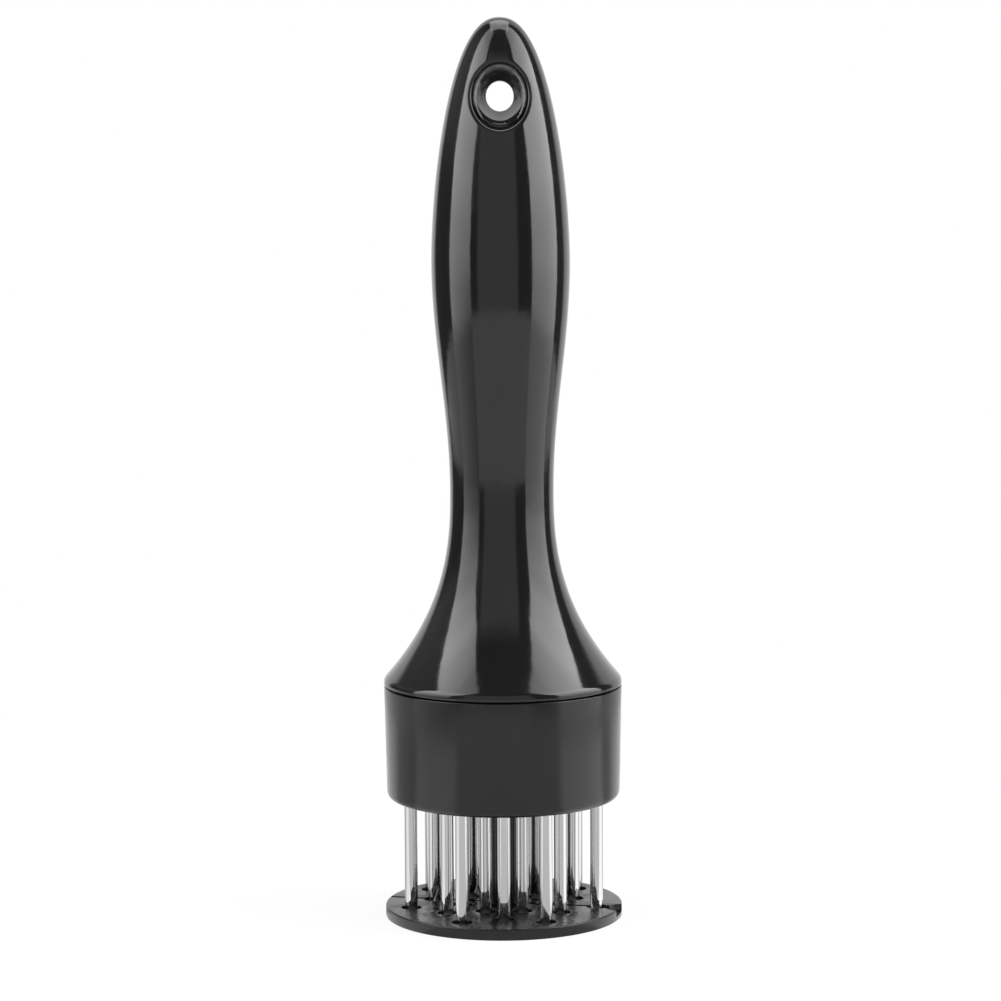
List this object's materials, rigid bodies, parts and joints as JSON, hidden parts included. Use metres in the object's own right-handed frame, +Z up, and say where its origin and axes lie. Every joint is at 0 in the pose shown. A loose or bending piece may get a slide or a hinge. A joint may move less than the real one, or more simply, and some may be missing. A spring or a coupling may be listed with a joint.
{
  "type": "needle meat tenderizer",
  "caption": "Hand-held meat tenderizer: moulded handle over a ring of steel needles, with a spring-loaded guard plate that slides up as it is pressed.",
  "frame": {"origin": "centre of the guard plate's underside, where the tool stands on a table", "axes": "+Z up the tool's long axis to the hanging tip, Y through the hanging hole with -Y the pictured side, +X to the right in the picture"},
  "size_m": [0.0532, 0.0532, 0.2003],
  "materials": {
    "handle_plastic": "polished black moulded ABS",
    "collar_plastic": "satin black moulded ABS",
    "inner_plastic": "plain black moulded ABS, not seen from outside",
    "needle_steel": "drawn and polished stainless steel",
    "guard_plastic": "satin black moulded ABS",
    "stem_plastic": "satin black moulded ABS",
    "spring_steel": "drawn spring wire"
  },
  "bodies": {
    "handle": {"handle_shell": "handle_plastic", "hanging_eyelet": "handle_plastic", "collar": "collar_plastic", "needle_carrier_plate": "inner_plastic", "needle_backing_plate": "inner_plastic", "needle_outer_1": "needle_steel", "needle_outer_2": "needle_steel", "needle_outer_3": "needle_steel", "needle_outer_4": "needle_steel", "needle_outer_5": "needle_steel", "needle_outer_6": "needle_steel", "needle_outer_7": "needle_steel", "needle_middle_1": "needle_steel", "needle_middle_2": "needle_steel", "needle_middle_3": "needle_steel", "needle_middle_4": "needle_steel", "needle_middle_5": "needle_steel", "needle_middle_6": "needle_steel", "needle_middle_7": "needle_steel", "needle_inner_1": "needle_steel", "needle_inner_2": "needle_steel", "needle_inner_3": "needle_steel", "needle_inner_4": "needle_steel", "needle_inner_5": "needle_steel", "needle_inner_6": "needle_steel", "needle_inner_7": "needle_steel", "return_spring": "spring_steel"},
    "guard": {"guard_plate_front": "guard_plastic", "guard_plate_rear": "guard_plastic", "guard_stem": "stem_plastic"}
  },
  "joints": [
    {"name": "guard_slide", "type": "slide", "parent": "handle", "child": "guard", "axis": [0, 0, 1], "range_m": [0, 0.0238], "stiffness_N_per_m": 220, "springref_m": -0.02, "deforming": ["return_spring"]}
  ]
}
